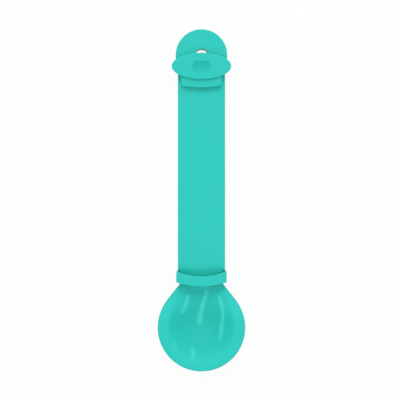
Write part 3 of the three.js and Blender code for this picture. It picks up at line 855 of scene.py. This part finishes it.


# Thumb plate: the oval that the thumb pushes, in the same plastic as the handle. Five grooves in its middle
# give grip, with painted shade in them that fades downwards with their depth. Two pegs under it go through
# the squeeze plate, and a leg at each end reaches down beside the bar to the strap behind it.
THUMB_HALF_HEIGHT = 6.57 * MM
THUMB_BACK = 10.1 * MM
THUMB_EDGE = 0.5 * MM
OVAL_STEPS = 96
LEG_INNER = 12.11 * MM
LEG_OUTER = 13.51 * MM
LEG_HEIGHT = 4.0 * MM  # along the bar
LEG_EDGE = 0.4 * MM
LEG_CORNER = 0.9 * MM
LEG_WIDE_STEPS = 2
LEG_TALL_STEPS = 4
PEG_RADIUS = 1.3 * MM
PEG_LENGTH = 1.1 * MM
PEG_SPACING = 12 * MM
PEG_EDGE = 0.2 * MM
PEG_STEPS = 32
TONGUE_HALF = 1.0 * MM
TONGUE_LOW = 1.3 * MM
TONGUE_HIGH = 2.0 * MM
GROOVE_COUNT = 5
GROOVE_PITCH = 1.27 * MM
GROOVE_LENGTH = 7.4 * MM
GROOVE_BULGE = 0.42  # the middle groove is this share longer
GROOVE_HALF_WIDTH = 0.58 * MM
GROOVE_DEPTH = 0.42 * MM
GROOVE_FADE = 0.21  # the square of this times a groove's number, from 0, is the share of depth it lacks
GROOVE_SHIFT = 0.69 * MM  # below the oval's middle
GROOVE_BLUNTNESS = 20.0  # as for the ridges
GROOVE_TIP = 0.1  # share of the width left at the ends
GROOVE_POINTS = 40
GROOVE_SIDES = 20

thumb_low, thumb_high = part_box("thumb_plate")
strap_low, strap_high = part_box("rear_strap")
thumb_half = thumb_high.x
thumb_middle = thumb_high.y - THUMB_HALF_HEIGHT
slider_top = strap_high.y
leg_middle = slider_top - LEG_HEIGHT / 2

oval = []
for step in range(OVAL_STEPS):
    angle = step / OVAL_STEPS * math.tau
    oval.append((thumb_half * math.cos(angle), thumb_middle + THUMB_HALF_HEIGHT * math.sin(angle)))
thumb = slab("thumb_plate_moulding", oval, THUMB_BACK, thumb_high.z, THUMB_EDGE)

leg_section = oblong(
    LEG_HEIGHT / 2, thumb_low.z, THUMB_BACK + THUMB_EDGE, LEG_CORNER, LEG_WIDE_STEPS, LEG_TALL_STEPS
)
leg_outline = [(y + leg_middle, z) for y, z in leg_section]
window_outline = rectangle(
    leg_middle - TONGUE_HALF - JOINT_GAP,
    TONGUE_LOW - JOINT_GAP,
    leg_middle + TONGUE_HALF + JOINT_GAP,
    TONGUE_HIGH + JOINT_GAP,
)
legs = []
for left, right in ((-LEG_OUTER, -LEG_INNER), (LEG_INNER, LEG_OUTER)):
    leg = slab("leg", leg_outline, left, right, LEG_EDGE)
    window = slab("window", window_outline, left - LEG_EDGE, right + LEG_EDGE, HAIR)
    # Both are made lying flat, and turned so that their thickness runs across the bar.
    for turned in (leg, window):
        for vertex in turned.data.vertices:
            y, z, x = vertex.co
            vertex.co = (x, y, z)
    combine(leg, "DIFFERENCE", window)
    legs.append(leg)

peg_middles = (-PEG_SPACING / 2, PEG_SPACING / 2)
pegs = []
for peg_middle in peg_middles:
    peg_outline = circle(peg_middle, thumb_middle, PEG_RADIUS, PEG_STEPS)
    pegs.append(slab("peg", peg_outline, THUMB_BACK - PEG_LENGTH, THUMB_BACK + THUMB_EDGE, PEG_EDGE))


def groove_tree():
    """Lays out cutters for a row of grooves, the middle ones longer and each shallower than the last."""
    tree = bpy.data.node_groups.new("grip_grooves", "GeometryNodeTree")
    identifiers = named_inputs(
        tree,
        {
            "Surface": "Geometry",
            "Count": "Int",
            "Step": "Vector",
            "First": "Vector",
            "Half Length": "Vector",
            "Bulge": "Float",
            "Fade": "Float",
            "Half Width": "Float",
            "Stretch": "Vector",
            "Finish": "Material",
        },
    )
    given = node(tree, "NodeGroupInput").outputs
    starts = node(
        tree,
        "GeometryNodeMeshLine",
        {"Count": given["Count"], "Start Location": given["First"], "Offset": given["Step"]},
        mode="OFFSET",
    ).outputs[0]
    far_end = node(
        tree, "ShaderNodeVectorMath", {0: given["Half Length"], "Scale": -1.0}, operation="SCALE"
    ).outputs[0]
    run = node(
        tree, "GeometryNodeCurvePrimitiveLine", {"Start": far_end, "End": given["Half Length"]}
    ).outputs[0]
    fine = node(tree, "GeometryNodeResampleCurve", {"Curve": run, "Count": GROOVE_POINTS}).outputs[0]
    along = node(tree, "GeometryNodeSplineParameter").outputs["Factor"]
    taper = tapered(tree, along, GROOVE_BLUNTNESS)
    slim = node(tree, "ShaderNodeMath", {0: taper, 1: GROOVE_TIP}, operation="MAXIMUM").outputs[0]
    section = node(
        tree,
        "GeometryNodeCurvePrimitiveCircle",
        {"Resolution": GROOVE_SIDES, "Radius": given["Half Width"]},
    ).outputs[0]
    round_cutter = node(
        tree,
        "GeometryNodeCurveToMesh",
        {"Curve": fine, "Profile Curve": section, "Scale": slim, "Fill Caps": True},
    ).outputs[0]
    cutter = node(
        tree, "GeometryNodeTransform", {"Geometry": round_cutter, "Scale": given["Stretch"]}
    ).outputs[0]
    order = node(tree, "GeometryNodeInputIndex").outputs[0]
    fall = node(tree, "ShaderNodeMath", {0: order, 1: given["Fade"]}, operation="MULTIPLY").outputs[0]
    loss = node(tree, "ShaderNodeMath", {0: fall, 1: fall}, operation="MULTIPLY").outputs[0]
    left = node(tree, "ShaderNodeMath", {0: 1.0, 1: loss}, operation="SUBTRACT").outputs[0]
    last = node(tree, "ShaderNodeMath", {0: given["Count"], 1: 1.0}, operation="SUBTRACT").outputs[0]
    place = node(tree, "ShaderNodeMath", {0: order, 1: last}, operation="DIVIDE").outputs[0]
    outer = node(tree, "ShaderNodeMath", {0: from_middle(tree, place)}, operation="ABSOLUTE").outputs[0]
    central = node(tree, "ShaderNodeMath", {0: 1.0, 1: outer}, operation="SUBTRACT").outputs[0]
    longer = node(
        tree, "ShaderNodeMath", {0: central, 1: given["Bulge"], 2: 1.0}, operation="MULTIPLY_ADD"
    ).outputs[0]
    shaped = node(tree, "ShaderNodeCombineXYZ", {"X": longer, "Y": 1.0, "Z": left}).outputs[0]
    row = node(
        tree, "GeometryNodeInstanceOnPoints", {"Points": starts, "Instance": cutter, "Scale": shaped}
    ).outputs[0]
    put_out(tree, row, given["Finish"])
    return tree, identifiers


groove_run = GROOVE_PITCH * (GROOVE_COUNT - 1)
first_groove = thumb_middle - GROOVE_SHIFT + groove_run / 2
cutters = bpy.data.objects.new("grip_grooves", bpy.data.meshes.new("grip_grooves"))
scene.collection.objects.link(cutters)
shape_by(
    cutters,
    *groove_tree(),
    {
        "Count": GROOVE_COUNT,
        "Step": (0, -GROOVE_PITCH, 0),
        "First": (0, first_groove, thumb_high.z),
        "Half Length": (GROOVE_LENGTH / 2, 0, 0),
        "Bulge": GROOVE_BULGE,
        "Fade": GROOVE_FADE,
        "Half Width": GROOVE_HALF_WIDTH,
        "Stretch": (1, 1, GROOVE_DEPTH / GROOVE_HALF_WIDTH),
        "Finish": satin_plastic,
    },
)
combine(thumb, "UNION", *legs, *pegs)
combine(thumb, "DIFFERENCE", cutters)

# Painted shade in the grooves: full in the upper ones and fading downwards.
painted_groove_shade = thumb.data.attributes.new("painted_shade", "FLOAT", "FACE")
patch_half = GROOVE_LENGTH / 2 * (1 + GROOVE_BULGE)
patch_high = first_groove + GROOVE_HALF_WIDTH
patch_low = first_groove - groove_run - GROOVE_HALF_WIDTH
for face, mark in zip(thumb.data.polygons, painted_groove_shade.data):
    sunk = THUMB_BACK + THUMB_EDGE < face.center.z < thumb_high.z - HAIR
    down = (patch_high - face.center.y) / (patch_high - patch_low)
    inside = sunk and abs(face.center.x) < patch_half and 0 < down < 1
    mark.value = (1 - down**2) * inside
dress(thumb, satin_plastic, "satin_plastic", "slider", "thumb_plate")


# Squeeze plate: a flat plate in the same plastic under the oval, whose lower end shows as a tab. It presses
# the pouch flat against the bar, and hangs on the thumb plate's two pegs.
PLATE_EDGE = 0.35 * MM
TAB_ARC = 54 * MM
TAB_CORNER = 1.5 * MM
TAB_STEPS = 24
TAB_CORNER_STEPS = 8

plate_low, plate_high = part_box("squeeze_plate")
pad_low, pad_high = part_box("squeeze_pad")
tab_reach = plate_high.x - TAB_CORNER
tab_spread = math.asin(tab_reach / (TAB_ARC - TAB_CORNER)) / (math.pi / 2)
tab_arc_middle = plate_low.y + TAB_ARC
low_corner = tab_arc_middle - math.sqrt((TAB_ARC - TAB_CORNER) ** 2 - tab_reach**2)
high_corner = slider_top - TAB_CORNER
tab_outline = arc(-tab_reach, low_corner, TAB_CORNER, 2, 3 - tab_spread, TAB_CORNER_STEPS)
tab_outline += arc(0, tab_arc_middle, TAB_ARC, 3 - tab_spread, 3 + tab_spread, TAB_STEPS)[1:-1]
tab_outline += arc(tab_reach, low_corner, TAB_CORNER, 3 + tab_spread, 4, TAB_CORNER_STEPS)
tab_outline += arc(tab_reach, high_corner, TAB_CORNER, 0, 1, TAB_CORNER_STEPS)
tab_outline += arc(-tab_reach, high_corner, TAB_CORNER, 1, 2, TAB_CORNER_STEPS)
squeeze = slab("squeeze_plate_moulding", tab_outline, plate_low.z, plate_high.z, PLATE_EDGE)
pad_groove = slab(
    "pad_groove",
    rectangle(pad_low.x - JOINT_GAP, pad_low.y - JOINT_GAP, pad_high.x + JOINT_GAP, pad_high.y + JOINT_GAP),
    plate_low.z - JOINT_GAP,
    pad_high.z + JOINT_GAP,
    HAIR,
)
peg_holes = []
for peg_middle in peg_middles:
    peg_hole = circle(peg_middle, thumb_middle, PEG_RADIUS + JOINT_GAP, PEG_STEPS)
    peg_holes.append(slab("peg_hole", peg_hole, plate_low.z - JOINT_GAP, plate_high.z + JOINT_GAP, HAIR))
combine(squeeze, "DIFFERENCE", pad_groove, *peg_holes)
dress(squeeze, satin_plastic, "satin_plastic", "slider", "squeeze_plate")


# Squeeze pad: a soft strip of the bowl's silicone, let into the underside of the squeeze plate. Its rounded
# lip wipes the pouch along the bar.
PAD_END = 0.4 * MM
PAD_END_SHARE = 0.9  # of the strip's width left at both its ends
PAD_STEPS = 16

pad_half = (pad_high.y - pad_low.y) / 2
pad_middle = (pad_high.y + pad_low.y) / 2
pad_lip = plate_low.z - pad_low.z
pad_section = []
for across, rise in arc(0, 0, 1, 2, 4, PAD_STEPS):
    pad_section.append((pad_half * across, plate_low.z + pad_lip * rise))
pad_section += [(pad_half, pad_high.z), (-pad_half, pad_high.z)]
pad_rings = []
for x, share in (
    (pad_low.x, PAD_END_SHARE),
    (pad_low.x + PAD_END, 1),
    (pad_high.x - PAD_END, 1),
    (pad_high.x, PAD_END_SHARE),
):
    pad_rings.append([(x, pad_middle + across * share, z) for across, z in pad_section])
pad = skin("squeeze_pad_strip", pad_rings)
dress(pad, soft_silicone, "soft_silicone", "slider", "squeeze_pad")


# Rear strap: a flat bar of the handle's plastic behind the handle. A tongue at each end snaps into the window
# of a leg, and keeps the slider on the bar.
STRAP_HALF = 11.81 * MM
STRAP_EDGE = 0.45 * MM
STRAP_STEPS = 2
TONGUE_EDGE = 0.2 * MM

tongue = oblong(TONGUE_HALF, TONGUE_LOW, TONGUE_HIGH, TONGUE_EDGE, STRAP_STEPS, STRAP_STEPS)
middle = oblong(LEG_HEIGHT / 2, strap_low.z, strap_high.z, STRAP_EDGE, STRAP_STEPS, STRAP_STEPS)
strap_rings = []
for x, section in (
    (strap_low.x, tongue),
    (-STRAP_HALF, tongue),
    (-STRAP_HALF, middle),
    (STRAP_HALF, middle),
    (STRAP_HALF, tongue),
    (strap_high.x, tongue),
):
    strap_rings.append([(x, leg_middle + y, z) for y, z in section])
strap = skin("rear_strap_bar", strap_rings)
dress(strap, satin_plastic, "satin_plastic", "slider", "rear_strap")
